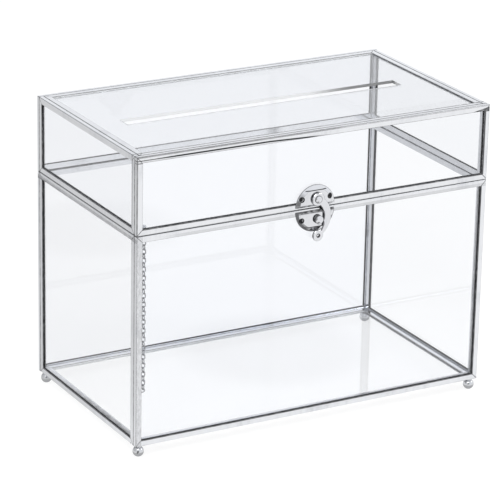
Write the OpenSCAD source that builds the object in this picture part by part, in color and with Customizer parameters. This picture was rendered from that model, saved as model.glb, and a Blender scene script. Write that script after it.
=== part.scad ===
// Clear glass card box: a lower box and a hinged lid, each of five panes framed in mitred
// channel and soldered edge to edge, with a posting slot in the top pane, ball feet, a swing-hook
// clasp in front, tube hinges behind and a stay chain.
// +Z up, front towards -Y. The origin is on the standing surface, under the middle of the box.

/* [Box] */
// Outside width, left to right
box_w = 254; // [180:1:360]
// Outside depth, front to back
box_d = 142.24; // [110:1:220]
// Height of the lower box, from its bottom edge to the seam
base_h = 139.7; // [120:1:220]
// Height of the lid, from the seam to its top edge
lid_h = 50.8; // [30:1:90]
// Gap between the two rims at the seam
seam_gap = 0.3; // [0.2:0.05:0.6]

/* [Channel] */
// Width of the channel's two flanges
flange_w = 4; // [3.6:0.1:6]
// Thickness of the folded sheet
sheet_t = 0.5; // [0.4:0.05:0.6]
// Radius of the channel's folds
edge_r = 0.6; // [0.3:0.05:1]
// Solder line between two mitred ends
solder_gap = 0.2; // [0.1:0.05:0.4]

/* [Glass] */
// Thickness of every pane
glass_t = 2; // [1.5:0.1:3]
// Clearance between a pane and its channel
glass_fit = 0.1; // [0.05:0.05:0.2]
// Length of the posting slot
slot_len = 200.66; // [120:1:220]
// Width of the posting slot
slot_w = 10.92; // [6:0.1:16]
// How far the slot's middle lies in front of the pane's middle
slot_forward = 2; // [0:0.5:10]
// How far the slot's middle lies left of the pane's middle
slot_left = 1; // [0:0.5:6]

/* [Feet] */
// Height of the frame's bottom edge above the standing surface
foot_h = 7.6; // [7:0.1:9]
// Diameter of the ball
foot_d = 7.2; // [6:0.1:7.6]
// Diameter of the ball's ground seat
foot_seat_d = 3; // [2:0.1:4]
// Diameter of the neck over the ball
foot_neck_d = 3.8; // [2.4:0.1:4]
// Distance of the foot's axis from both outer faces
foot_inset = 3.9; // [3.2:0.1:6]

/* [Clasp] */
// How far the clasp lies left of the box's middle
clasp_left = 1.8; // [0:0.1:20]
// Radius of each half plate
plate_r = 14; // [12:0.5:16]
// Height of the plate's raised face over the frame
plate_rise = 1.5; // [1.2:0.1:2]
// Width of the sloping skirt round the plate
skirt_w = 2.6; // [1.5:0.1:3]
// Distance of each plate's straight edge from the seam
plate_gap = 1.5; // [1:0.1:2]
// Depth of the plate's sloping end, past its crease
crease_w = 3.4; // [2:0.1:4]
// Width of the sloping hem along the plate's straight edge
hem_w = 1.2; // [0.8:0.1:1.4]
// Distance between the two fixing pins of a plate
pin_spacing = 20.2; // [18:0.1:21]
// Distance of the fixing pins from the seam
pin_height = 7; // [6:0.1:8]
// Radius of a fixing pin
fixing_r = 1.15; // [0.9:0.05:1.3]
// Distance of the hook's pivot from the seam
pivot_up = 6.2; // [5:0.1:8]
// Distance of the hook's pivot right of the clasp's middle
pivot_right = 1; // [0:0.1:2]
// Radius of the pivot rivet's shank
rivet_r = 1.2; // [0.9:0.05:1.6]
// Radius of the pivot rivet's head
rivet_head_r = 2.6; // [2:0.1:3.2]
// Distance of the keeper stud below the seam
stud_down = 7.4; // [7:0.1:8]
// Distance of the keeper stud right of the clasp's middle
stud_right = 1.8; // [1:0.1:2]
// Radius of the keeper stud
stud_r = 2.9; // [2.2:0.1:3]
// Thickness of the swing hook
hook_t = 1.3; // [1:0.1:1.6]
// Width of the hook's arm
hook_w = 4.8; // [4:0.1:5]
// Bevel round the front of the hook
hook_bevel = 0.35; // [0.1:0.05:0.5]
// Radius of the curl at the hook's end
curl_r = 3.7; // [3:0.1:4]
// Hole through the curl
curl_hole_r = 0.9; // [0.6:0.1:1.4]
// Clearance in front of the plate, behind the hook
hook_clear = 0.3; // [0.2:0.05:0.5]

/* [Hinges] */
// Length of each hinge
hinge_len = 30; // [20:1:50]
// Distance of each hinge's middle from the box's middle
hinge_x = 60; // [40:1:64]
// Outer radius of the knuckles
knuckle_r = 1.6; // [1.4:0.1:2]
// Radius of the hinge pin
hinge_pin_r = 0.7; // [0.5:0.05:0.8]
// Running clearance round the pins and the rivet
running_fit = 0.05; // [0.02:0.01:0.08]
// Thickness of the hinge leaves
leaf_t = 0.6; // [0.5:0.05:0.7]
// Height of each hinge leaf from the seam
leaf_h = 3.8; // [3.4:0.1:6]

/* [Stay chain] */
// Wire diameter of the links
wire_d = 0.65; // [0.5:0.05:0.8]
// Outside length of a link
link_len = 4.25; // [4.2:0.05:5.5]
// Outside width of a link
link_w = 2.9; // [2.8:0.05:3.2]
// Pairs of links in each leg of the chain
link_pairs = 17; // [10:1:18]
// Distance of the chain from the box's front face
chain_back = 8.8; // [8.6:0.1:20]
// Distance of the base leg from the box's left face
chain_in = 6; // [5.6:0.1:12]
// Clearance between the two legs of the hanging chain
leg_clear = 0.2; // [0.1:0.05:0.3]

/* [Hidden] */
$fn = 64;
eps = 0.01;
silver = [0.84, 0.85, 0.87];
dark_steel = [0.2, 0.2, 0.22];
clear = [0.86, 0.92, 0.95, 0.35];

// Channel: a web and two flanges, with the pane's edge between them
frame_t = glass_t + 2 * (glass_fit + sheet_t);
pane_in = sheet_t + glass_fit;

// Levels and panel sizes
seam_z = foot_h + base_h;
lid_bottom = seam_z + seam_gap / 2;
base_panel_h = base_h - seam_gap / 2;
lid_panel_h = lid_h - seam_gap / 2;
lid_top = seam_z + lid_h;
// The front and back panels are as wide as the box, and the others stand between them.
inner_w = box_w - 2 * frame_t;
inner_d = box_d - 2 * frame_t;

// Feet
ball_r = foot_d / 2;
ball_z = sqrt(pow(ball_r, 2) - pow(foot_seat_d / 2, 2));

// Clasp, in its own plane: x right of its middle, y up from the seam, z out of the front face
skin = 0.6;
plate_lip = 0.3;
pin_recess = 0.25;
hook_back = plate_rise + hook_clear;
hook_front = hook_back + hook_t;
rivet_head_t = 0.9;
stud_head_t = 1;
head_rim = 0.2;
head_step = 0.1;
hem_slope = 35;
stud_waist = 0.5;
// The arm is a ring sector, and its middle line passes through the pivot.
arm_r = 12.8;
arm_side = -5.8;
arm_down = -11.4;
arm_x = pivot_right + arm_side;
arm_y = pivot_up + arm_down;
arm_start = 76;
arm_end = -53;
head_r = 4.4;
// The tail narrows where a second circle is cut from the arm.
tail_cut = [-1.5, -10.5];
tail_cut_r = 6.75;
curl_at = [1.4, -17.9];

// Hinges
axis_y = box_d / 2 + knuckle_r;
knuckles = 5;
knuckle_gap = 0.2;
leaf_clear = 0.35;
pin_head_r = 1.2;
pin_head_t = 0.5;

// Stay chain: a link's pitch leaves its neighbours just free to turn.
wire_r = wire_d / 2;
bend_r = (link_w - wire_d) / 2;
link_play = 0.05;
link_pitch = link_len - 2 * wire_d - link_play;
link_half = link_len / 2 - wire_r;
base_links = 2 * link_pairs + 1;
lid_links = base_links + 2;
// The lid's tab stands one pitch over the seam and the base's one under it, so that both legs
// end at one level.
tab_z = link_pitch;
tab_t = 0.8;
tab_hole_r = 0.75;
tab_wall = 0.5;
leg_spacing = link_w + leg_clear;
base_leg_x = -box_w / 2 + chain_in;
lid_leg_x = base_leg_x + leg_spacing;
chain_y = -box_d / 2 + chain_back;
bottom_link_len = leg_spacing + link_w;
base_leg_l = (base_links - 1) * link_pitch + 2 * link_half;
chain_bottom = seam_z - tab_z - base_leg_l;

// Corners and sides: name, then the signs of X and Y
CORNERS = [
    ["front_left", -1, -1], ["front_right", 1, -1], ["back_left", -1, 1], ["back_right", 1, 1]
];
SIDES = ["front", "back", "left", "right"];
HANDS = [["left", -1], ["right", 1]];

// ---- Channel and panels ----
// A panel stands in the xz plane with its lower left corner at the origin and its outer face
// towards -y.

// Folded channel with its web at the origin and its pane along +x
module channel_section() {
    difference() {
        union() {
            for (y = [edge_r, frame_t - edge_r])
                translate([edge_r, y])
                    circle(edge_r);
            translate([0, edge_r])
                square([flange_w, frame_t - 2 * edge_r]);
            translate([edge_r, 0])
                square([flange_w - edge_r, frame_t]);
        }
        translate([sheet_t, sheet_t])
            square([flange_w, frame_t - 2 * sheet_t]);
    }
}

// Half space beyond a mitre at the low end, less half of the solder line
module mitre_cut() {
    reach = 3 * flange_w;
    translate([0, 0, solder_gap / sqrt(2)])
        rotate([0, -45, 0])
            translate([-reach, -reach, -2 * reach])
                cube(2 * reach);
}

// Length of channel along +z, mitred at both ends
module channel(len) {
    difference() {
        linear_extrude(len)
            channel_section();
        mitre_cut();
        translate([0, 0, len])
            mirror([0, 0, 1])
                mitre_cut();
    }
}

module left_channel(high) {
    channel(high);
}

module right_channel(wide, high) {
    translate([wide, 0, 0])
        mirror([1, 0, 0])
            channel(high);
}

module bottom_channel(wide) {
    mirror([1, 0, -1])
        channel(wide);
}

module top_channel(wide, high) {
    translate([0, 0, high])
        mirror([0, 0, 1])
            bottom_channel(wide);
}

module pane(wide, high) {
    translate([pane_in, pane_in, pane_in])
        cube([wide - 2 * pane_in, glass_t, high - 2 * pane_in]);
}

// Places of the panels: a long one on the front or back, a short one on the left or right, and
// a level one with its outer face down or up
module at_long(s, low) {
    mirror([0, s == "back" ? 1 : 0, 0])
        translate([-box_w / 2, -box_d / 2, low])
            children();
}

module at_short(s, low) {
    mirror([s == "right" ? 1 : 0, 0, 0])
        translate([-box_w / 2, -box_d / 2 + frame_t, low])
            mirror([1, -1, 0])
                children();
}

module at_level(z, up) {
    translate([-inner_w / 2, -inner_d / 2, z])
        mirror([0, 0, up ? 1 : 0])
            mirror([0, 1, -1])
                children();
}

// Post: the upright channels of the two panels that meet at a corner
module post(c, low, high) {
    long = c[2] < 0 ? "front" : "back";
    short = c[1] < 0 ? "left" : "right";
    at_long(long, low)
        if (c[1] < 0)
            left_channel(high);
        else
            right_channel(box_w, high);
    at_short(short, low)
        if (c[2] < 0)
            left_channel(high);
        else
            right_channel(inner_d, high);
}

// Channel along the edge of a level panel that meets the wall on side s
module level_channel(s, z, up) {
    at_level(z, up)
        if (s == "left")
            left_channel(inner_d);
        else if (s == "right")
            right_channel(inner_w, inner_d);
        else if (s == "front")
            bottom_channel(inner_w);
        else
            top_channel(inner_w, inner_d);
}

// Channels along the lower and the upper edge of the wall on side s
module wall_bottom(s, low) {
    if (s == "front" || s == "back")
        at_long(s, low)
            bottom_channel(box_w);
    else
        at_short(s, low)
            bottom_channel(inner_d);
}

module wall_top(s, low, high) {
    if (s == "front" || s == "back")
        at_long(s, low)
            top_channel(box_w, high);
    else
        at_short(s, low)
            top_channel(inner_d, high);
}

module wall_pane(s, low, high) {
    if (s == "front" || s == "back")
        at_long(s, low)
            pane(box_w, high);
    else
        at_short(s, low)
            pane(inner_d, high);
}

// ---- Lower box ----

module base_post(c) {
    color(silver)
        post(c, foot_h, base_panel_h);
}

module base_bottom_rail(s) {
    color(silver) {
        wall_bottom(s, foot_h);
        level_channel(s, foot_h, false);
    }
}

module base_rim_rail(s) {
    color(silver)
        wall_top(s, foot_h, base_panel_h);
}

module base_glass(s) {
    color(clear)
        wall_pane(s, foot_h, base_panel_h);
}

module floor_glass() {
    color(clear)
        at_level(foot_h, false)
            pane(inner_w, inner_d);
}

// Ball foot with a neck up to the frame and a small ground seat
module foot(c) {
    color(silver)
        translate([c[1] * (box_w / 2 - foot_inset), c[2] * (box_d / 2 - foot_inset), 0]) {
            intersection() {
                translate([0, 0, ball_z])
                    sphere(ball_r);
                cylinder(h = foot_d, r = foot_d);
            }
            translate([0, 0, ball_z])
                cylinder(h = foot_h - ball_z, d = foot_neck_d);
        }
}

// ---- Clasp ----

module on_front() {
    translate([-clasp_left, -box_d / 2, seam_z])
        rotate([90, 0, 0])
            children();
}

module half_space(r) {
    translate([-r, -2 * r, -2 * r])
        cube([2 * r, 4 * r, 2 * r]);
}

// Solid half-round form of a plate with its straight edge on the x axis
module half_dome(r, rise, lip, crease) {
    slope = atan((rise - lip) / crease_w);
    intersection() {
        union() {
            cylinder(h = lip, r = r);
            translate([0, 0, lip])
                cylinder(h = rise - lip, r1 = r, r2 = r - skirt_w);
        }
        translate([-r, 0, 0])
            cube([2 * r, r, rise]);
        translate([0, crease, rise])
            rotate([-slope, 0, 0])
                half_space(r);
        translate([0, hem_w, rise])
            rotate([hem_slope, 0, 0])
                half_space(r);
    }
}

// Stamped half plate over the seam: a raised face with a hem, a crease, a skirt and a hollow back
module stamped_plate() {
    crease = plate_r - crease_w;
    translate([0, plate_gap, 0])
        difference() {
            half_dome(plate_r, plate_rise, plate_lip, crease);
            translate([0, skin, -eps])
                half_dome(plate_r - 2 * skin, plate_rise - skin + eps, eps, crease - skin);
            for (side = [-1, 1])
                translate([side * pin_spacing / 2, pin_height - plate_gap, -eps])
                    cylinder(h = plate_rise + 1, r = fixing_r + running_fit);
        }
}

// Two pins with recessed round heads, seated in a plate
module fixing_pins() {
    for (side = [-1, 1])
        translate([side * pin_spacing / 2, pin_height, 0]) {
            cylinder(h = plate_rise - pin_recess - fixing_r / 2, r = fixing_r);
            translate([0, 0, plate_rise - pin_recess - fixing_r / 2])
                intersection() {
                    translate([0, 0, fixing_r / 2 - fixing_r * 5 / 4])
                        sphere(fixing_r * 5 / 4);
                    cylinder(h = fixing_r, r = fixing_r);
                }
        }
}

// Domed head with a short rim that stands out a little round the dome
module domed_head(r, h) {
    dome_h = h - head_rim;
    ball = (pow(r - head_step, 2) + pow(dome_h, 2)) / (2 * dome_h);
    cylinder(h = head_rim, r = r);
    translate([0, 0, head_rim])
        intersection() {
            translate([0, 0, dome_h - ball])
                sphere(ball);
            cylinder(h = h, r = 2 * r);
        }
}

module keeper_plate() {
    color(silver)
        on_front()
            mirror([0, 1, 0])
                difference() {
                    stamped_plate();
                    translate([stud_right, stud_down, -eps])
                        cylinder(h = plate_rise + 1, r = rivet_r + running_fit);
                }
}

module keeper_pins() {
    color(dark_steel)
        on_front()
            mirror([0, 1, 0])
                fixing_pins();
}

// Round stud with a waist beside the hook and a wider head in front of it
module keeper_stud() {
    color(silver)
        on_front()
            translate([stud_right, -stud_down, 0]) {
                cylinder(h = hook_front, r = rivet_r);
                translate([0, 0, plate_rise])
                    cylinder(h = hook_clear, r = stud_r);
                translate([0, 0, plate_rise])
                    cylinder(h = hook_front - plate_rise + 0.1, r = stud_r - stud_waist);
                translate([0, 0, hook_front + 0.1])
                    domed_head(stud_r, stud_head_t);
            }
}

module latch_plate() {
    color(silver)
        on_front()
            difference() {
                stamped_plate();
                translate([pivot_right, pivot_up, -eps])
                    cylinder(h = plate_rise + 1, r = rivet_r + running_fit);
            }
}

module latch_pins() {
    color(dark_steel)
        on_front()
            fixing_pins();
}

module pivot_rivet() {
    color(silver)
        on_front()
            translate([pivot_right, pivot_up, 0]) {
                cylinder(h = hook_front + running_fit, r = rivet_r);
                translate([0, 0, plate_rise])
                    cylinder(h = hook_clear - running_fit, r = rivet_head_r);
                translate([0, 0, hook_front + running_fit])
                    domed_head(rivet_head_r, rivet_head_t);
            }
}

// Sector of a disc between two angles that lie less than 180 degrees apart
module wedge(r, from, to) {
    far = 2 * r;
    middle = (from + to) / 2;
    polygon([
        [0, 0], far * [cos(from), sin(from)], far * [cos(middle), sin(middle)],
        far * [cos(to), sin(to)]
    ]);
}

// Cutter of a slice of height h: a round one that widens by inset on the way up
module widening_cut(r, h, inset) {
    grow = eps * inset / h;
    translate([0, 0, -eps])
        cylinder(h = h + 2 * eps, r1 = r - grow, r2 = r + inset + grow);
}

module hook_arm(h, inset) {
    difference() {
        translate([arm_x, arm_y, 0])
            intersection() {
                difference() {
                    cylinder(h = h, r1 = arm_r + hook_w / 2, r2 = arm_r + hook_w / 2 - inset);
                    widening_cut(arm_r - hook_w / 2, h, inset);
                }
                linear_extrude(h)
                    wedge(arm_r + hook_w, arm_end, arm_start);
            }
        translate([tail_cut[0], tail_cut[1], 0])
            widening_cut(tail_cut_r, h, inset);
    }
}

// Slice of the hook of height h, whose outline shrinks by inset on the way up
module hook_slice(h, inset) {
    hook_arm(h, inset);
    translate([pivot_right, pivot_up, 0])
        cylinder(h = h, r1 = head_r, r2 = head_r - inset);
    translate([curl_at[0], curl_at[1], 0])
        cylinder(h = h, r1 = curl_r, r2 = curl_r - inset);
}

module swing_hook() {
    color(silver)
        on_front()
            translate([0, 0, hook_back])
                difference() {
                    union() {
                        hook_slice(hook_t - hook_bevel, 0);
                        translate([0, 0, hook_t - hook_bevel])
                            hook_slice(hook_bevel, hook_bevel);
                    }
                    translate([pivot_right, pivot_up, -1])
                        cylinder(h = hook_t + 2, r = rivet_r + running_fit);
                    translate([curl_at[0], curl_at[1], -1])
                        cylinder(h = hook_t + 2, r = curl_hole_r);
                }
}

// ---- Hinges ----

// Place on the hinge axis, with z along the axis from the hinge's left end and the frame at -x
module on_hinge(h) {
    translate([h[1] * hinge_x - hinge_len / 2, axis_y, seam_z])
        rotate([90, 0, 90])
            children();
}

function knuckle_start(i) = i * hinge_len / knuckles + knuckle_gap / 2;
knuckle_len = hinge_len / knuckles - knuckle_gap;

// Leaf on the lid side (+y): a flat strip on the frame that rolls into its knuckles
module leaf(own, other) {
    difference() {
        union() {
            translate([-knuckle_r, 0, 0])
                cube([leaf_t, leaf_h, hinge_len]);
            for (i = own)
                translate([0, 0, knuckle_start(i)])
                    cylinder(h = knuckle_len, r = knuckle_r);
        }
        for (i = other)
            translate([-knuckle_r - 1, -knuckle_r, i * hinge_len / knuckles - knuckle_gap / 2])
                cube([
                    2 * knuckle_r + 1, 2 * knuckle_r + leaf_clear,
                    hinge_len / knuckles + knuckle_gap
                ]);
        translate([0, 0, -1])
            cylinder(h = hinge_len + 2, r = hinge_pin_r + running_fit);
    }
}

module hinge_base_leaf(h) {
    color(silver)
        on_hinge(h)
            mirror([0, 1, 0])
                leaf([0, 2, 4], [1, 3]);
}

module hinge_lid_leaf(h) {
    color(silver)
        on_hinge(h)
            leaf([1, 3], [0, 2, 4]);
}

module hinge_pin(h) {
    color(silver)
        on_hinge(h) {
            cylinder(h = hinge_len, r = hinge_pin_r);
            for (z = [-pin_head_t, hinge_len])
                translate([0, 0, z])
                    cylinder(h = pin_head_t, r = pin_head_r);
        }
}

// ---- Stay chain ----

// A round-ended wire link standing along z, with its faces towards +y and -y
module link(len) {
    straight = len - link_w;
    for (end = [-1, 1])
        translate([0, 0, end * straight / 2])
            rotate([90, end < 0 ? 180 : 0, 0])
                rotate_extrude(angle = 180)
                    translate([bend_r, 0])
                        circle(wire_r, $fn = 24);
    for (side = [-1, 1])
        translate([side * bend_r, 0, 0])
            cylinder(h = straight, r = wire_r, center = true, $fn = 24);
}

// A leg of links that hangs from a pivot, the first one edge-on to the front
module chain_leg(links) {
    for (i = [0:links - 1])
        translate([0, 0, -link_half - i * link_pitch])
            rotate([0, 0, i % 2 == 0 ? 90 : 0])
                link(link_len);
}

module chain_base_leg() {
    color(silver) {
        translate([base_leg_x, chain_y, seam_z - tab_z])
            chain_leg(base_links);
        translate([
            (base_leg_x + lid_leg_x) / 2, chain_y, chain_bottom + wire_d + link_play - bend_r
        ])
            rotate([0, 90, 0])
                link(bottom_link_len);
    }
}

module chain_lid_leg() {
    color(silver)
        translate([lid_leg_x, chain_y, seam_z + tab_z])
            chain_leg(lid_links);
}

// Tab on the rim's inner flange with an eye for the first link
module chain_tab(leg_x, z) {
    root = -box_w / 2 + frame_t;
    eye = tab_hole_r + tab_wall;
    color(silver)
        translate([0, chain_y, z])
            difference() {
                union() {
                    translate([root, -tab_t / 2, -eye])
                        cube([leg_x - root, tab_t, 2 * eye]);
                    translate([leg_x, 0, 0])
                        rotate([90, 0, 0])
                            cylinder(h = tab_t, r = eye, center = true);
                }
                translate([leg_x, 0, 0])
                    rotate([90, 0, 0])
                        cylinder(h = tab_t + 1, r = tab_hole_r, center = true);
            }
}

module chain_base_tab() {
    chain_tab(base_leg_x, seam_z - tab_z);
}

module chain_lid_tab() {
    chain_tab(lid_leg_x, seam_z + tab_z);
}

// ---- Lid ----

module lid_post(c) {
    color(silver)
        post(c, lid_bottom, lid_panel_h);
}

module lid_top_rail(s) {
    color(silver) {
        wall_top(s, lid_bottom, lid_panel_h);
        level_channel(s, lid_top, true);
    }
}

module lid_rim_rail(s) {
    color(silver)
        wall_bottom(s, lid_bottom);
}

module lid_glass(s) {
    color(clear)
        wall_pane(s, lid_bottom, lid_panel_h);
}

module top_glass() {
    color(clear)
        difference() {
            at_level(lid_top, true)
                pane(inner_w, inner_d);
            translate([-slot_left - slot_len / 2, -slot_forward - slot_w / 2, lid_top - frame_t])
                cube([slot_len, slot_w, frame_t]);
        }
}

// ---- Assembly ----

for (c = CORNERS) {
    base_post(c);
    foot(c);
    lid_post(c);
}
for (s = SIDES) {
    base_bottom_rail(s);
    base_rim_rail(s);
    base_glass(s);
    lid_top_rail(s);
    lid_rim_rail(s);
    lid_glass(s);
}
for (h = HANDS) {
    hinge_base_leaf(h);
    hinge_pin(h);
    hinge_lid_leaf(h);
}
floor_glass();
top_glass();
keeper_plate();
keeper_pins();
keeper_stud();
latch_plate();
latch_pins();
pivot_rivet();
swing_hook();
chain_base_tab();
chain_lid_tab();
chain_base_leg();
chain_lid_leg();
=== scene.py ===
import math

import bmesh
import bpy
from mathutils import Matrix, Vector


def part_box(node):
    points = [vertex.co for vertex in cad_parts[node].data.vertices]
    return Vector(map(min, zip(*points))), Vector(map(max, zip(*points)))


bl_info = {
    "name": "Glass card box",
    "version": (1, 0, 0),
    "blender": (4, 5, 0),
    "location": "3D View > Sidebar > Card Box",
    "description": "Dresses a glass card box in silver and clear glass, and sets its studio",
    "category": "Object",
}

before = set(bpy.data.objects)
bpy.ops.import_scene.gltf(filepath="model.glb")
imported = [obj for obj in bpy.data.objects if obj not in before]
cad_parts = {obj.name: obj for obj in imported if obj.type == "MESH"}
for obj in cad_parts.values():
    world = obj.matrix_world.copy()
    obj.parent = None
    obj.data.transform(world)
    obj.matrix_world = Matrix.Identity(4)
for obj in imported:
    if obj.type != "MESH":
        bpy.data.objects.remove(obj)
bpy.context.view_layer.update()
MM = 0.001

# Outer faces of the frame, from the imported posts
POST_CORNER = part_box("base_post_front_left")[0]
FRAME_LOW = POST_CORNER.z
FRAME_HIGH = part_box("lid_post_front_left")[1].z
HALF_WIDTH = -POST_CORNER.x
HALF_DEPTH = -POST_CORNER.y
# Thickness of the channel and width of its flanges
RIM_LOW, RIM_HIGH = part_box("base_rim_rail_front")
CHANNEL = RIM_HIGH.y - RIM_LOW.y
FLANGE = RIM_HIGH.z - RIM_LOW.z
# Height of the seam between the box and its lid, and half of its gap
SEAM = (RIM_HIGH.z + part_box("lid_rim_rail_front")[0].z) / 2
HALF_SEAM = SEAM - RIM_HIGH.z
# Front edge of the pale painted light in the level panels' back channels
SEAT_BACK = HALF_DEPTH - CHANNEL - FLANGE - 0.9 * MM
# Middle of the clasp, the radius of its half plates and their gap from the seam
PLATE_LOW, PLATE_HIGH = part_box("latch_plate")
CLASP_X = (PLATE_LOW.x + PLATE_HIGH.x) / 2
PLATE_RADIUS = (PLATE_HIGH.x - PLATE_LOW.x) / 2
PLATE_GAP = PLATE_LOW.z - SEAM
# The clasp's pins: sideways from its middle, and away from the seam
PIN_ACROSS, PIN_UP = 10.1 * MM, 7 * MM
# The hole in the hook's curl: right of the clasp's middle, and up from the hook's end
HOLE_RIGHT, HOLE_UP = 1.4 * MM, 3.7 * MM
# How far the hook's face, and the faces of the rivet and stud, stand out from the frame
HOOK_OUT, HEAD_OUT = 2.78 * MM, 3.42 * MM
CURL_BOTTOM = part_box("swing_hook")[0].z
# Middle of a ball foot, in from the frame's faces
FOOT_IN = 3.9 * MM
# Azimuth of the room behind the camera
ROOM_AZIMUTH = -119.4


# ---- Shader expressions ----


class Socket:
    """A node's output that adds Math nodes when it is used in an expression."""

    def __init__(self, finish, output):
        self.finish = finish
        self.output = output

    def math(self, operation, *values):
        return self.finish.node("ShaderNodeMath", {"operation": operation}, dict(enumerate(values)))

    def __add__(self, other):
        return self.math("ADD", self, other)

    def __sub__(self, other):
        return self.math("SUBTRACT", self, other)

    def __rsub__(self, other):
        return self.math("SUBTRACT", other, self)

    def __mul__(self, other):
        return self.math("MULTIPLY", self, other)

    __radd__ = __add__

    def largest(self, other):
        return self.math("MAXIMUM", self, other)

    def least(self, other):
        return self.math("MINIMUM", self, other)

    def size(self):
        return self.math("ABSOLUTE", self)

    def root(self):
        return self.math("SQRT", self)

    def under(self, limit):
        """1 below a limit and 0 above it."""
        return self.math("LESS_THAN", self, limit)

    def clamped(self):
        return self.finish.node("ShaderNodeClamp", {}, {"Value": self})

    def step(self, low, high, start=0.0, end=1.0):
        """A smooth change from start to end as the value goes from low to high."""
        return self.finish.node(
            "ShaderNodeMapRange",
            {"interpolation_type": "SMOOTHSTEP"},
            {"Value": self, "From Min": low, "From Max": high, "To Min": start, "To Max": end},
        )

    def fade(self, low, high, start=1.0):
        """A smooth fall from start to 0 as the value goes from low to high."""
        return self.step(low, high, start, 0.0)

    def line(self, half_width, fade):
        """1 where the value is within half_width of 0, falling to 0 over fade."""
        return self.size().fade(half_width, half_width + fade)


class Finish:
    """A node tree, built from expressions on its sockets."""

    def __init__(self, tree):
        self.tree = tree
        tree.nodes.clear()

    def set(self, socket, value):
        """Link a socket, or give it a value."""
        if isinstance(value, Socket):
            self.tree.links.new(value.output, socket)
        else:
            socket.default_value = value

    def node(self, kind, settings, inputs, output=0):
        """Add a node, set its settings, then its input values or links, and return one output."""
        made = self.tree.nodes.new(kind)
        for name, value in settings.items():
            setattr(made, name, value)
        for name, value in inputs.items():
            self.set(made.inputs[name], value)
        return Socket(self, made.outputs[output])

    def place(self):
        """Object coordinates, in metres."""
        return self.node("ShaderNodeTexCoord", {}, {}, "Object")

    def noise(self, place, size, detail=2.0, roughness=0.5):
        """Noise from 0 to 1 whose lumps are about size metres across."""
        return self.node(
            "ShaderNodeTexNoise",
            {},
            {"Vector": place, "Scale": 1.0 / size, "Detail": detail, "Roughness": roughness},
        )

    def vector(self, operation, first, second=(0.0, 0.0, 0.0), output=0):
        return self.node(
            "ShaderNodeVectorMath", {"operation": operation}, {0: first, 1: second}, output
        )

    def stretched(self, place, scale):
        return self.vector("MULTIPLY", place, scale)

    def along(self, vector, direction):
        """How far a vector reaches along a direction."""
        return self.vector("DOT_PRODUCT", vector, direction, "Value")

    def distance(self, first, second):
        return self.vector("DISTANCE", first, second, "Value")

    def parts(self, vector):
        """The three numbers of a vector."""
        split = self.node("ShaderNodeSeparateXYZ", {}, {"Vector": vector}).output.node
        return [Socket(self, output) for output in split.outputs]

    def mix(self, factor, first, second):
        """A colour between two, by a factor from 0 to 1."""
        # The colour sockets of a Mix node are its inputs 6 and 7 and its output 2
        made = self.node("ShaderNodeMix", {"data_type": "RGBA"}, {0: factor}, 2)
        self.set(made.output.node.inputs[6], first)
        self.set(made.output.node.inputs[7], second)
        return made

    def bump(self, height, strength, distance):
        return self.node(
            "ShaderNodeBump", {}, {"Height": height, "Strength": strength, "Distance": distance}
        )

    def principled(self, inputs):
        return self.node("ShaderNodeBsdfPrincipled", {}, inputs)

    def either(self, factor, first, second):
        """One shader at factor 0 and another at factor 1."""
        return self.node("ShaderNodeMixShader", {}, {0: factor, 1: first, 2: second})

    def shade(self, shader, output="ShaderNodeOutputMaterial"):
        made = self.tree.nodes.new(output)
        self.tree.links.new(shader.output, made.inputs["Surface"])


def new_material(name):
    material = bpy.data.materials.new(name)
    material.use_nodes = True
    return material, Finish(material.node_tree)


def rgba(colour):
    return (*colour, 1.0)


def scaled(colour, share):
    """A colour made darker or lighter."""
    return rgba([min(1.0, share * part) for part in colour])


def reach(first, second):
    """How long a flat vector is."""
    return (first * first + second * second).root()


# ---- Painted shade and dark joints on the channel ----


class Place:
    """A point of the channel: its coordinates, and its distances in from the frame's faces."""

    def __init__(self, f, place):
        x, y, z = f.parts(place)
        self.x, self.y, self.z = x, y, z
        self.from_side = HALF_WIDTH - x.size()
        self.from_front = HALF_DEPTH - y.size()
        self.side_in = self.from_side - CHANNEL
        self.front_in = self.from_front - CHANNEL
        self.from_level = (z - FRAME_LOW).least(FRAME_HIGH - z)
        self.from_seam = (z - SEAM).size() - HALF_SEAM
        self.from_rim = self.from_level.least(self.from_seam)
        self.below_rim = SEAM - z
        self.below_top = FRAME_HIGH - z
        # The panel that it is on: front or back, left or right, or floor or top
        self.long_panel = self.from_front.under(CHANNEL)
        self.short_panel = self.from_side.under(CHANNEL) * (1.0 - self.long_panel)
        self.level_panel = (1.0 - self.long_panel) * (1.0 - self.short_panel)
        # The half of the box that it is in, and the face that it is on
        self.left = x.under(0.0)
        self.front = y.under(0.0)
        self.back = 1.0 - self.front
        self.lower = z.under(SEAM)
        self.lid = 1.0 - self.lower
        self.left_face = (x + HALF_WIDTH).under(0.6 * MM)
        self.level_face = self.from_level.under(0.8 * MM)
        self.front_panel = self.front * self.long_panel
        self.uneven = f.noise(place, 3 * MM, 2.0, 0.6).step(0.2, 0.7, 0.6, 1.0)


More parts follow.
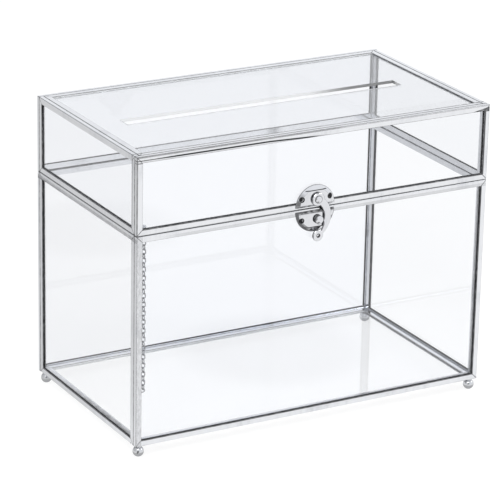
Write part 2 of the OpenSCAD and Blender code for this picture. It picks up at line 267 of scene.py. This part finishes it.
def panel_marks(p):
    """Each panel's open slot and flanges' tips, darkened as painted shade with some grime on the
    tips, and its dark mitred joints.
    """
    sheet = (0.3 * MM, 0.5 * MM)
    slot_end = (0.2 * MM, 0.4 * MM)
    mitre_half_width, mitre_fade = 0.2 * MM, 0.16 * MM
    thin_tip, thin_grime_and_shade = (FLANGE - 0.32 * MM, FLANGE - 0.1 * MM), 0.55
    thick_tip, thick_shade = (FLANGE - 0.75 * MM, FLANGE - 0.5 * MM), 0.95
    # The level panes' edges fill their slots with light, all but the right-hand ones, which get a
    # little painted shade
    right_hand = p.x.step(HALF_WIDTH - 16 * MM, HALF_WIDTH - 12 * MM) * 0.25
    # Every tip gets a thin dark line of grime and painted shade, and a thick painted shade lies on
    # the tips that look up, left or to the front
    floor_tips = p.lower * p.z.under(FRAME_LOW + 2 * FLANGE)
    looks_up = floor_tips.largest(p.lid * p.z.under(SEAM + 2 * FLANGE))

    slot = joint = tip = 0.0
    for panel, depth, to_side, to_level, shade_and_grime, across, thick_rail in (
        (p.long_panel, p.from_front, p.from_side, p.from_rim, 1.0, p.x, looks_up),
        (p.short_panel, p.from_side, p.front_in, p.from_rim, 1.0, p.y, looks_up),
        (p.level_panel, p.from_level, p.side_in, p.front_in, right_hand, p.x, 0.0),
    ):
        post = to_side.under(to_level)
        thick = (post * (1.0 - across.under(0.0))).largest((1.0 - post) * thick_rail)
        edge = to_side.least(to_level)
        between = depth.step(*sheet) * (CHANNEL - depth).step(*sheet)
        # Painted shade in the slot between the flanges
        slot = panel * between * edge.step(*slot_end) * shade_and_grime + slot
        joint = panel * (to_side - to_level).line(mitre_half_width, mitre_fade) + joint
        thickly = edge.step(*thick_tip) * thick * (shade_and_grime * thick_shade)
        tip = panel * (edge.step(*thin_tip) * thin_grime_and_shade).largest(thickly) + tip
    return slot.largest(joint * p.uneven).largest(tip * p.uneven.root())


def groove_marks(p):
    """Painted shade in the grooves between neighbouring panels and along the level panels' front
    tips, and along the front panel's upper edges.
    """
    upright = p.front_in.line(0.24 * MM, 0.26 * MM) * p.from_side.under(0.8 * MM)
    lengthways = p.front_in.line(0.3 * MM, 0.35 * MM) * p.y.step(-10 * MM, 10 * MM, 0.9, 0.35)
    crossways = p.side_in.line(0.22 * MM, 0.26 * MM) * (1.0 - p.long_panel)
    inner_tip = (p.front_in - FLANGE + 0.45 * MM).line(0.45 * MM, 0.2 * MM) * p.front * 0.9
    level = lengthways.largest(crossways).largest(inner_tip) * p.level_face
    top_fold = (p.from_front + p.below_top).fade(0.6 * MM, 1 * MM) * p.front
    top_fold = top_fold * p.x.step(10 * MM, 20 * MM, 0.7, 0.4)
    return upright.largest(level).largest(top_fold) * p.uneven


def seam_marks(p):
    """The seam's gap darkened with painted shade, with a dark streak inside the back rails and
    painted shade along the rails' tips and flanges beside it.
    """
    inner_back = p.from_front.step(CHANNEL - 0.3 * MM, CHANNEL - 0.1 * MM) * p.long_panel * p.back
    seam = p.from_seam.fade(0.1 * MM, 0.3 * MM, 0.8)
    seam = seam.largest(p.from_seam.fade(0.35 * MM, 0.7 * MM) * inner_back)
    streak = (p.below_rim - 2.2 * MM).line(0.25 * MM, 0.5 * MM) * inner_back
    streak = streak * p.x.fade(-80 * MM, -50 * MM, 0.85)
    rim_tip = (p.below_rim - FLANGE).line(0.35 * MM, 0.4 * MM) * p.left_face
    rim_tip = rim_tip * p.y.step(-20 * MM, 40 * MM, 0.35, 0.85)
    flange = p.below_rim.under(1.1 * FLANGE)
    left_shade = p.below_rim.step(1.6 * MM, 2.1 * MM) * flange * p.left_face * 0.5
    lines = seam.largest(streak).largest(rim_tip).largest(left_shade) * p.uneven
    front_shade = p.below_rim.step(1.9 * MM, 2.4 * MM) * flange * p.front_panel
    return lines.largest(front_shade * p.x.step(-115 * MM, -90 * MM) * 0.2)


def top_rail_marks(p):
    """The front top rail's streak, painted shade on its tip and below the streak, and the dark
    patch at its right-hand end.
    """
    flange = p.below_top.under(1.1 * FLANGE)
    # Painted shade along the rail's tip
    tip = (p.below_top - FLANGE).line(0.25 * MM, 0.25 * MM) * p.front_panel * 0.8
    # The dark patch's upper edge slopes down to the left, and it ends just round the corner
    dark_end = (p.below_top - (HALF_WIDTH - p.x) * 0.19).step(1 * MM, 1.5 * MM) * flange
    dark_end = dark_end * p.x.step(90 * MM, 100 * MM)
    dark_end = dark_end * (p.y + HALF_DEPTH).fade(1.5 * FLANGE, 2.5 * FLANGE)
    # The streak widens at its left-hand end, and drops to the tip at its right-hand end
    streak_down = 2.4 * MM
    widening = p.x.step(-118 * MM, -95 * MM) * (0.25 * MM)
    drop = (p.x + 35 * MM).largest(0.0) * 0.036
    streak = ((p.below_top - streak_down - drop).size() - widening).fade(0.1 * MM, 0.4 * MM)
    streak = streak * p.x.fade(-8 * MM, 12 * MM) * p.front_panel
    shade = p.below_top.step(streak_down, streak_down + 0.3 * MM) * flange * p.front_panel
    shade = shade * p.x.fade(-50 * MM, -10 * MM) * 0.13
    upper_edge = p.front.largest(p.left) * p.below_top.under(0.5 * MM) * 0.08
    return (tip.largest(dark_end) * p.uneven).largest(streak).largest(shade).largest(upper_edge)


def bed_marks(p):
    """Darker round the floor panel, at the left and in front."""
    left = p.side_in.step(2 * MM, 4.3 * MM, 0.85, 0.2) * p.left
    left = left * p.y.step(-20 * MM, 60 * MM, 1.0, 0.3)
    front = p.front_in.fade(1.5 * MM, 4.2 * MM, 0.7) * p.front
    front = front * p.x.step(-50 * MM, 100 * MM, 0.35, 1.0)
    return left.largest(front) * p.level_panel * p.lower * p.uneven


def post_marks(f, place, p):
    """The front posts' folds and the lid's front right tip, darkened as painted shade, the front
    posts' bands and rubs, and the shade inside the lid's back right post.
    """
    fold = (p.from_side + p.from_front).fade(0.5 * MM, 0.9 * MM, 0.75) * p.front
    fold = fold * p.x.step(-100 * MM, 100 * MM, 1.0, 0.5)
    fold = fold * p.z.step(SEAM - 1 * MM, SEAM + 1 * MM, 0.2, 1.0)
    band = (p.front_in - 3.4 * MM).line(0.6 * MM, 0.5 * MM)
    band = band.largest(p.front_in.line(0.4 * MM, 0.6 * MM)) * p.left_face * p.front
    band = band * p.lid * (p.z - SEAM).step(2 * MM, 6 * MM) * 0.42
    right_tip = (p.from_side - FLANGE + 0.7 * MM).line(0.4 * MM, 0.3 * MM) * p.front_panel
    right_tip = right_tip * p.lid * p.from_rim.step(3.4 * MM, 3.8 * MM)
    right_tip = right_tip * p.x.step(0.0, 100 * MM) * 0.9
    rubs = f.noise(f.stretched(place, (1.0, 1.0, 0.4)), 1.6 * MM, 3.0, 0.6)
    rubs = rubs.step(0.3, 0.7, 0.1, 0.28) * (p.x + HALF_WIDTH).under(FLANGE + 0.1 * MM)
    rubs = rubs * p.from_front.under(0.3 * MM) * p.front * p.lower
    inside = p.side_in.step(-0.3 * MM, -0.1 * MM) * p.front_in.step(-0.3 * MM, -0.1 * MM)
    inside = inside * p.side_in.largest(p.front_in).under(FLANGE + 0.3 * MM) * p.back
    inside = inside * p.x.step(0.0, 100 * MM) * p.lid
    inside = inside * p.from_rim.step(FLANGE, FLANGE + 0.5 * MM) * 0.42
    return (fold.largest(inside) * p.uneven).largest(band).largest(right_tip).largest(rubs)


def channel_marks(f, place):
    """Where the channel is dark with painted shade or its dark mitred joints, from 0 to 1."""
    p = Place(f, place)
    shade_and_stain = panel_marks(p).largest(groove_marks(p)).largest(seam_marks(p))
    shade_and_stain = shade_and_stain.largest(top_rail_marks(p)).largest(bed_marks(p))
    return shade_and_stain.largest(post_marks(f, place, p)).clamped()


# ---- Painted shade and dark patches on the other silver ----


def clasp_marks(f, place):
    """Where the clasp's plates are dark with painted shade: round the pins, and along the folds,
    hem and foot.
    """
    x, y, z = f.parts(place)
    across = x - CLASP_X
    up = (z - SEAM).size()
    out = up - PLATE_GAP
    lower = z.under(SEAM)
    radius = reach(across, out)
    pin = reach(across.size() - PIN_ACROSS, up - PIN_UP).fade(1.7 * MM, 2.1 * MM)
    crease = (out - (PLATE_RADIUS - 3.4 * MM)).line(0.2 * MM, 0.2 * MM)
    crease = crease * radius.under(PLATE_RADIUS - 1 * MM)
    skirt = (radius - (PLATE_RADIUS - 2.6 * MM)).line(0.14 * MM, 0.22 * MM)
    skirt = skirt * out.fade(PLATE_RADIUS - 3.8 * MM, PLATE_RADIUS - 3 * MM, 0.15)
    # The painted shade at the foot reaches higher at the left of the lower plate
    rise = lower * across.step(-10 * MM, -1 * MM, 0.75 * MM, 0.1 * MM) + 0.35 * MM
    foot = (y + HALF_DEPTH + rise).step(-0.15 * MM, 0.05 * MM) * 0.85
    hem = (out - 1.2 * MM).line(0.15 * MM, 0.25 * MM) * 0.6 + lower * out.fade(0.5 * MM, 1.4 * MM)
    uneven = f.noise(place, 2.5 * MM, 2.0, 0.6).step(0.3, 0.65, 0.35, 1.0)
    return pin.largest(crease).largest(skirt).largest(hem * uneven).largest(foot).clamped()


def edge_marks(height):
    """Painted shade on the side walls of a piece that stands out from the front, up to a height
    over the frame.
    """

    def marks(f, place):
        _, y, _ = f.parts(place)
        over = -HALF_DEPTH - y
        patchy = f.noise(place, 2 * MM, 2.0, 0.5).step(0.3, 0.6, 0.7, 1.0)
        return over.fade(height - 0.1 * MM, height + 0.26 * MM, 0.95) * patchy

    return marks


def hook_marks(f, place):
    """Painted shade on the hook's side walls, and in a ring round the hole in its curl."""
    x, _, z = f.parts(place)
    from_hole = reach(x - (CLASP_X + HOLE_RIGHT), z - (CURL_BOTTOM + HOLE_UP))
    return edge_marks(HOOK_OUT)(f, place).largest(from_hole.fade(1.2 * MM, 1.6 * MM))


def foot_marks(f, place):
    """Painted shade on a ball foot's neck and upper rim, under the frame."""
    _, _, z = f.parts(place)
    return z.step(FRAME_LOW - 1 * MM, FRAME_LOW - 0.5 * MM, 0.0, 0.8)


def link_marks(f, place):
    """Dark patches scattered at random over the chain."""
    return f.noise(place, 1.3 * MM, 2.0, 0.5).step(0.42, 0.62, 0.0, 0.6)


# ---- Finishes ----


def polished_silver(name, colour, finishes, wave, marks=None):
    """Silver plate with a hand-wiped film, faint tarnish, waves of some height and dark marks,
    which are mostly painted shade.
    """
    material, f = new_material(name)
    place = f.place()
    film = f.noise(place, 22 * MM, 4.0, 0.6)
    streaks = f.noise(f.stretched(place, (1.0, 1.0, 0.12)), 2.2 * MM, 3.0, 0.6)
    dull = (film * 0.7 + streaks * 0.3).step(0.45, 0.75)
    specks = f.noise(place, 0.9 * MM, 2.0, 0.5).step(0.66, 0.8)
    plate = f.mix((dull * 0.5 + specks * 0.25).clamped(), rgba(colour), rgba(finishes.tarnish))
    rough = finishes.gloss + dull * 0.10 + specks * 0.06
    metallic = 1.0
    if marks:
        # The marks are mostly painted shade, with some grime and dark joints, and take one dark
        # colour
        shade_and_stain = marks(f, place)
        plate = f.mix(shade_and_stain, plate, rgba(finishes.shade_and_grime))
        rough = rough + shade_and_stain * 0.3
        metallic = 1.0 - shade_and_stain * 0.9
    shader = f.principled(
        {
            "Base Color": plate,
            "Metallic": metallic,
            # Only the painted shade and grime aren't metal, and they reflect little
            "IOR": 1.2,
            "Roughness": rough.clamped(),
            "Normal": f.bump(f.noise(place, 9 * MM, 2.0, 0.4) + film * 0.2, 0.25, wave),
        }
    )
    f.shade(shader)
    return material


def dark_pin(name, colour):
    """Blackened steel, a little worn."""
    material, f = new_material(name)
    wear = f.noise(f.place(), 0.6 * MM, 3.0, 0.6)
    shader = f.principled(
        {
            "Base Color": f.mix(wear.step(0.4, 0.8), rgba(colour), scaled(colour, 3.0)),
            "Metallic": 0.0,
            "IOR": 1.25,
            "Roughness": wear * 0.2 + 0.25,
        }
    )
    f.shade(shader)
    return material


def in_slot(f, place, slot):
    """1 on the walls of the posting slot."""
    x, y, _ = f.parts(place)
    across = (x - slot.centre_x).size() - slot.length / 2
    along = (y - slot.centre_y).size() - slot.width / 2
    return across.largest(along).under(0.02 * MM)


def clear_glass(name, tint, ior=1.5, ground=None, slot=None):
    """Float glass with a faint film, which lets the lamps' light through."""
    material, f = new_material(name)
    place = f.place()
    film = f.noise(place, 60 * MM, 3.0, 0.6)
    glass = f.principled(
        {
            "Base Color": rgba(tint),
            "Roughness": 0.0,
            "IOR": ior,
            "Transmission Weight": 1.0,
            "Normal": f.bump(film, 0.05, 0.02 * MM),
        }
    )
    open_to_lamps = f.node("ShaderNodeBsdfTransparent", {}, {"Color": rgba(tint)})
    shadow_ray = f.node("ShaderNodeLightPath", {}, {}, "Is Shadow Ray")
    shader = f.either(shadow_ray, glass, open_to_lamps)
    if ground:
        # Along the back a level pane is pale and matt, painted light for what its edge carries,
        # and the right-hand end of its slot's back wall has a painted shade
        x, y, _ = f.parts(place)
        seat_light = y.step(SEAT_BACK, SEAT_BACK + 0.2 * MM)
        back_wall = y.step(-1 * MM, 1 * MM, 0.5, 1.0)
        shaded = x.step(30 * MM, 70 * MM) * back_wall * (1.0 - seat_light)
        walls = f.mix(shaded, rgba(ground), scaled(ground, 0.3))
        grain = f.noise(place, 0.4 * MM, 3.0, 0.7)
        frosted = f.principled(
            {
                "Base Color": f.mix(grain.step(0.3, 0.7, 0.0, 0.1), walls, rgba((0.3, 0.3, 0.3))),
                "Roughness": 0.6,
                "Normal": f.bump(grain, 0.3, 0.05 * MM),
            }
        )
        matt = in_slot(f, place, slot).largest(seat_light) if slot else seat_light
        shader = f.either(matt, shader, frosted)
    f.shade(shader)
    return material


# ---- Settings a user would change ----


def colour_setting(name, description, default):
    return bpy.props.FloatVectorProperty(
        name=name, description=description, default=default, subtype="COLOR", size=3, min=0, max=1
    )


class CardBoxFinishes(bpy.types.PropertyGroup):
    """Colours and gloss of the box's finishes."""

    silver: colour_setting(
        "Silver", "Colour of the polished silver plate", (0.885, 0.897, 0.925)
    )
    tarnish: colour_setting(
        "Tarnish", "Colour of the duller film on the silver", (0.60, 0.615, 0.66)
    )
    shade_and_grime: colour_setting(
        "Shade and grime", "Colour in the channel's slots and joints", (0.03, 0.03, 0.033)
    )
    clasp_silver: colour_setting("Clasp", "Colour of the clasp's silver", (0.80, 0.81, 0.84))
    foot_silver: colour_setting("Feet", "Colour of the ball feet's silver", (0.74, 0.75, 0.77))
    chain_silver: colour_setting("Chain", "Colour of the chain's silver", (0.62, 0.63, 0.655))
    gloss: bpy.props.FloatProperty(
        name="Polish", description="Roughness of the cleanest silver", default=0.07, min=0, max=1
    )
    pin_colour: colour_setting("Pins", "Colour of the dark fixing pins", (0.015, 0.015, 0.017))
    # The panes are one glass; their tints differ so each shows as light or dark as it looks, as
    # painted light and shade
    glass_tint: colour_setting(
        "Glass", "Tint of the front panes and the lid's side panes", (0.961, 0.968, 0.982)
    )
    shaded_back_tint: colour_setting("Back glass", "Tint of the back panes", (0.935, 0.944, 0.964))
    shaded_top_tint: colour_setting("Top glass", "Tint of the slotted pane", (0.892, 0.903, 0.926))
    lit_side_tint: colour_setting(
        "Side glass", "Tint of the lower side panes and the floor pane", (0.993, 0.996, 1.0)
    )
    ground_glass: colour_setting(
        "Ground glass", "Colour of the slot's ground walls and of the putty", (0.93, 0.94, 0.95)
    )


class CardBoxSlot(bpy.types.PropertyGroup):
    """Place and size of the posting slot, whose walls are ground."""

    length: bpy.props.FloatProperty(
        name="Slot length", description="Length of the posting slot", default=0.20066, unit="LENGTH"
    )
    width: bpy.props.FloatProperty(
        name="Slot width", description="Width of the posting slot", default=0.01092, unit="LENGTH"
    )
    centre_x: bpy.props.FloatProperty(
        name="Slot X", description="Slot's middle, left to right", default=-0.001, unit="LENGTH"
    )
    centre_y: bpy.props.FloatProperty(
        name="Slot Y", description="Slot's middle, front to back", default=-0.002, unit="LENGTH"
    )


class CardBoxStudio(bpy.types.PropertyGroup):
    """Camera and floor."""

    lens: bpy.props.FloatProperty(
        name="Lens", description="Focal length in millimetres", default=208.92, min=20, max=400
    )
    camera_distance: bpy.props.FloatProperty(
        name="Distance", description="From the aim to the camera", default=1.9283, unit="LENGTH"
    )
    azimuth: bpy.props.FloatProperty(
        name="Azimuth", description="Turn of the camera from the front, less than 0 to the left",
        default=math.radians(-29.38), subtype="ANGLE",
    )
    elevation: bpy.props.FloatProperty(
        name="Elevation", description="Height of the camera over the horizon",
        default=math.radians(20.02), subtype="ANGLE",
    )
    roll: bpy.props.FloatProperty(
        name="Roll", description="Roll of the camera", default=math.radians(1.16), subtype="ANGLE"
    )
    aim_right: bpy.props.FloatProperty(
        name="Aim right", description="Sideways offset of the aim", default=-0.0051, unit="LENGTH"
    )
    aim_up: bpy.props.FloatProperty(
        name="Aim up", description="Upward offset of the aim", default=0.0825, unit="LENGTH"
    )
    foot_height: bpy.props.FloatProperty(
        name="Foot height", description="Height of the frame over the table",
        default=0.0076, unit="LENGTH",
    )
    ground: colour_setting("Ground", "Colour of the floor", (0.92, 0.92, 0.92))


# ---- Studio ----


def toward(azimuth, elevation=0.0):
    """Unit vector at an angle from +X towards +Y and an angle over the horizon, in degrees."""
    a, e = math.radians(azimuth), math.radians(elevation)
    return (math.cos(a) * math.cos(e), math.sin(a) * math.cos(e), math.sin(e))


def seen_directly(f):
    """1 for rays that come from the camera, straight or by way of silver or glass."""
    path = f.tree.nodes.new("ShaderNodeLightPath")
    seen = Socket(f, path.outputs["Is Camera Ray"])
    seen = seen.largest(Socket(f, path.outputs["Is Glossy Ray"]))
    return seen.largest(Socket(f, path.outputs["Is Transmission Ray"]))


def mirrored_ray(f):
    """1 for rays that have come off silver or off the face of a pane."""
    return f.node("ShaderNodeLightPath", {}, {}, "Glossy Depth").least(1.0)


def hidden_in_gloss(f):
    """How dark the table shows in gloss, from 0 to 1."""
    place = f.place()
    # It is duller towards the back left
    way = f.vector("NORMALIZE", place)
    hidden = f.along(way, toward(120)).step(-0.2, 0.9) * 0.22 + 0.14
    # A dark card lies out from the front left corner, and a small one under the clasp
    out = f.vector("NORMALIZE", f.vector("SUBTRACT", place, (-HALF_WIDTH, -HALF_DEPTH, 0)))
    hidden = hidden.largest(f.along(out, toward(ROOM_AZIMUTH)).step(0.84, 0.93) * 0.8)
    from_clasp = f.distance(place, (40 * MM, -190 * MM, 0))
    hidden = hidden.largest(from_clasp.fade(45 * MM, 85 * MM, 0.7))
    # Each foot's shade on the table is painted round it, seen only in gloss
    for side in (-1, 1):
        for end in (-1, 1):
            foot = (side * (HALF_WIDTH - FOOT_IN), end * (HALF_DEPTH - FOOT_IN), 0)
            hidden = hidden.largest(f.distance(place, foot).fade(7 * MM, 15 * MM, 0.5))
    return hidden


def floor_paint(colour):
    """Pale paint that shows nearly white, keeps a faint shadow and is darker in gloss."""
    material, f = new_material("floor")
    paint = f.node("ShaderNodeBsdfDiffuse", {}, {"Color": rgba(colour)})
    pale_paint = f.node("ShaderNodeBsdfDiffuse", {}, {"Color": scaled(colour, 0.22)})
    lift = f.node("ShaderNodeEmission", {}, {"Color": (1, 1, 1, 1), "Strength": 0.85})
    both = f.node("ShaderNodeAddShader", {}, {0: pale_paint, 1: lift})
    shown = f.either(seen_directly(f), paint, both)
    black = f.node("ShaderNodeEmission", {}, {"Color": (0, 0, 0, 1)})
    f.shade(f.either((mirrored_ray(f) * hidden_in_gloss(f)).clamped(), shown, black))
    return material


class CARDBOX_OT_stage(bpy.types.Operator):
    """Make the camera, the pale floor, the sky and the lamps"""

    bl_idname = "cardbox.stage"
    bl_label = "Studio"

    def execute(self, context):
        studio = context.scene.card_box_studio
        self.camera(context, studio)
        self.floor(context, studio)
        self.sky(context)
        self.lamps(context)
        context.scene.view_settings.view_transform = "Standard"
        return {"FINISHED"}

    def camera(self, context, s):
        a, e = s.azimuth, s.elevation
        back = Vector((math.sin(a) * math.cos(e), -math.cos(a) * math.cos(e), math.sin(e)))
        right = Vector((math.cos(a), math.sin(a), 0))
        up = back.cross(right)
        turned_right = right * math.cos(s.roll) + up * math.sin(s.roll)
        turned_up = up * math.cos(s.roll) - right * math.sin(s.roll)
        at = turned_right * s.aim_right + turned_up * s.aim_up + back * s.camera_distance
        at.z += s.foot_height
        data = bpy.data.cameras.new("studio_camera")
        data.lens = s.lens
        data.sensor_width = 36
        data.clip_end = 50
        camera = bpy.data.objects.new("studio_camera", data)
        turn = Matrix((turned_right, turned_up, back)).transposed().to_4x4()
        camera.matrix_world = Matrix.Translation(at) @ turn
        context.collection.objects.link(camera)
        context.scene.camera = camera

    def floor(self, context, s):
        mesh = bpy.data.meshes.new("floor")
        shape = bmesh.new()
        bmesh.ops.create_grid(shape, x_segments=1, y_segments=1, size=6)
        shape.to_mesh(mesh)
        shape.free()
        mesh.materials.append(floor_paint(s.ground))
        floor = bpy.data.objects.new("floor", mesh)
        context.collection.objects.link(floor)

    def sky(self, context):
        world = bpy.data.worlds.new("studio")
        world.use_nodes = True
        context.scene.world = world
        f = Finish(world.node_tree)
        way = f.node("ShaderNodeTexCoord", {}, {}, "Generated")
        # In gloss the room behind the camera is dark, and so are the far side and the gaps
        # between the soft boxes
        dark = 0.0
        for azimuth, elevation, edge, full, depth in (
            (ROOM_AZIMUTH, 15, 0.9, 0.98, 0.8),
            (20, 55, 0.75, 0.95, 0.8),
            (150, 10, 0.3, 1.0, 0.4),
            (-36, 55, 0.9, 0.98, 0.9),
            (112, 27, 0.9, 0.98, 0.8),
        ):
            patch = f.along(way, toward(azimuth, elevation)).step(edge, full) * depth
            dark = patch.largest(dark)
        white = (1, 1, 1, 1)
        light = f.node("ShaderNodeBackground", {}, {"Color": white, "Strength": 0.75})
        shown = f.node("ShaderNodeBackground", {}, {"Color": white, "Strength": 1.0})
        mirrored = f.node(
            "ShaderNodeBackground",
            {},
            {"Color": (0.92, 0.93, 0.95, 1), "Strength": 1.0 - dark * 0.9},
        )
        seen = f.either(mirrored_ray(f), shown, mirrored)
        f.shade(f.either(seen_directly(f), light, seen), "ShaderNodeOutputWorld")

    def lamps(self, context):
        for name, at, size, power in (
            ("key_lamp", (-1.2, -1.4, 2.2), 1.2, 26),
            ("fill_lamp", (1.8, -0.6, 1.6), 1.4, 14),
        ):
            data = bpy.data.lights.new(name, "AREA")
            data.size = size
            data.energy = power
            lamp = bpy.data.objects.new(name, data)
            lamp.location = at
            box_middle = Vector((0, 0, 0.1))
            aim = box_middle - Vector(at)
            lamp.rotation_euler = aim.to_track_quat("-Z", "Y").to_euler()
            context.collection.objects.link(lamp)


# ---- The box ----


def dress(names, material):
    """Give CAD nodes one material."""
    for name in names:
        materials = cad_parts[name].data.materials
        materials.clear()
        materials.append(material)


def nodes_with(*words):
    """Names of the CAD nodes that have one of some words in them."""
    return [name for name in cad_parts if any(word in name for word in words)]


class CARDBOX_OT_frame(bpy.types.Operator):
    """Give the channels their polished silver, with painted shade in its slots and dark joints"""

    bl_idname = "cardbox.frame"
    bl_label = "Frame"

    def execute(self, context):
        s = context.scene.card_box_finishes
        channel = polished_silver("channel_silver", s.silver, s, 0.03 * MM, channel_marks)
        dress(nodes_with("_post_", "_rail_"), channel)
        return {"FINISHED"}


class CARDBOX_OT_panes(bpy.types.Operator):
    """Give the panes their clear glass, and the posting slot its ground walls"""

    bl_idname = "cardbox.panes"
    bl_label = "Panes"

    def execute(self, context):
        s = context.scene.card_box_finishes
        slot = context.scene.card_box_slot
        front = ("base_glass_front", "lid_glass_front", "lid_glass_left", "lid_glass_right")
        side = ("base_glass_left", "base_glass_right")
        # The darker back and slotted tints are painted shade, and the clearer side and floor tint
        # is painted light
        dress(front, clear_glass("clear_glass", s.glass_tint))
        dress(nodes_with("glass_back"), clear_glass("shaded_back_glass", s.shaded_back_tint))
        dress(side, clear_glass("lit_side_glass", s.lit_side_tint, 1.4))
        dress(["floor_glass"], clear_glass("floor_glass", s.lit_side_tint, 1.35, s.ground_glass))
        slotted = clear_glass("shaded_slotted_glass", s.shaded_top_tint, ground=s.ground_glass, slot=slot)
        dress(["top_glass"], slotted)
        return {"FINISHED"}


class CARDBOX_OT_clasp(bpy.types.Operator):
    """Give the clasp's plates, hook, rivet and stud their silver, and its pins their steel"""

    bl_idname = "cardbox.clasp"
    bl_label = "Clasp"

    def execute(self, context):
        s = context.scene.card_box_finishes
        plates = polished_silver("plate_silver", s.clasp_silver, s, 0.06 * MM, clasp_marks)
        hook = polished_silver("hook_silver", s.clasp_silver, s, 0.05 * MM, hook_marks)
        heads = polished_silver("head_silver", s.clasp_silver, s, 0.02 * MM, edge_marks(HEAD_OUT))
        dress(nodes_with("_plate"), plates)
        dress(["swing_hook"], hook)
        dress(["pivot_rivet", "keeper_stud"], heads)
        dress(nodes_with("_pins"), dark_pin("dark_pins", s.pin_colour))
        return {"FINISHED"}


class CARDBOX_OT_fittings(bpy.types.Operator):
    """Give the hinges and the chain's tabs their plain polished silver"""

    bl_idname = "cardbox.fittings"
    bl_label = "Hinges and tabs"

    def execute(self, context):
        s = context.scene.card_box_finishes
        plain = polished_silver("polished_silver", s.silver, s, 0.03 * MM)
        dress(nodes_with("hinge", "_tab"), plain)
        return {"FINISHED"}


class CARDBOX_OT_feet(bpy.types.Operator):
    """Give the ball feet their silver"""

    bl_idname = "cardbox.feet"
    bl_label = "Feet"

    def execute(self, context):
        s = context.scene.card_box_finishes
        feet = polished_silver("foot_silver", s.foot_silver, s, 0.02 * MM, foot_marks)
        dress(nodes_with("foot"), feet)
        return {"FINISHED"}


class CARDBOX_OT_chain(bpy.types.Operator):
    """Give the stay chain's links their dull silver"""

    bl_idname = "cardbox.chain"
    bl_label = "Chain"

    def execute(self, context):
        s = context.scene.card_box_finishes
        links = polished_silver("chain_silver", s.chain_silver, s, 0.01 * MM, link_marks)
        dress(nodes_with("_leg"), links)
        return {"FINISHED"}


class CARDBOX_PT_panel(bpy.types.Panel):
    """The box's settings, its pieces' finishes and its studio"""

    bl_idname = "CARDBOX_PT_panel"
    bl_label = "Card Box"
    bl_space_type = "VIEW_3D"
    bl_region_type = "UI"
    bl_category = "Card Box"

    def draw(self, context):
        layout = self.layout
        scene = context.scene
        for group in (scene.card_box_finishes, scene.card_box_slot, scene.card_box_studio):
            for setting in group.bl_rna.properties.keys():
                if setting not in ("rna_type", "name"):
                    layout.prop(group, setting)
        for operator in OPERATORS:
            layout.operator(operator.bl_idname)


OPERATORS = (
    CARDBOX_OT_stage,
    CARDBOX_OT_frame,
    CARDBOX_OT_panes,
    CARDBOX_OT_clasp,
    CARDBOX_OT_fittings,
    CARDBOX_OT_feet,
    CARDBOX_OT_chain,
)
CLASSES = (CardBoxFinishes, CardBoxSlot, CardBoxStudio, *OPERATORS, CARDBOX_PT_panel)


def register():
    for made in CLASSES:
        bpy.utils.register_class(made)
    bpy.types.Scene.card_box_finishes = bpy.props.PointerProperty(type=CardBoxFinishes)
    bpy.types.Scene.card_box_slot = bpy.props.PointerProperty(type=CardBoxSlot)
    bpy.types.Scene.card_box_studio = bpy.props.PointerProperty(type=CardBoxStudio)


def unregister():
    del bpy.types.Scene.card_box_studio
    del bpy.types.Scene.card_box_slot
    del bpy.types.Scene.card_box_finishes
    for made in reversed(CLASSES):
        bpy.utils.unregister_class(made)


def main():
    register()
    bpy.ops.cardbox.stage()
    bpy.ops.cardbox.frame()
    bpy.ops.cardbox.panes()
    bpy.ops.cardbox.clasp()
    bpy.ops.cardbox.fittings()
    bpy.ops.cardbox.feet()
    bpy.ops.cardbox.chain()


if __name__ == "__main__":
    main()
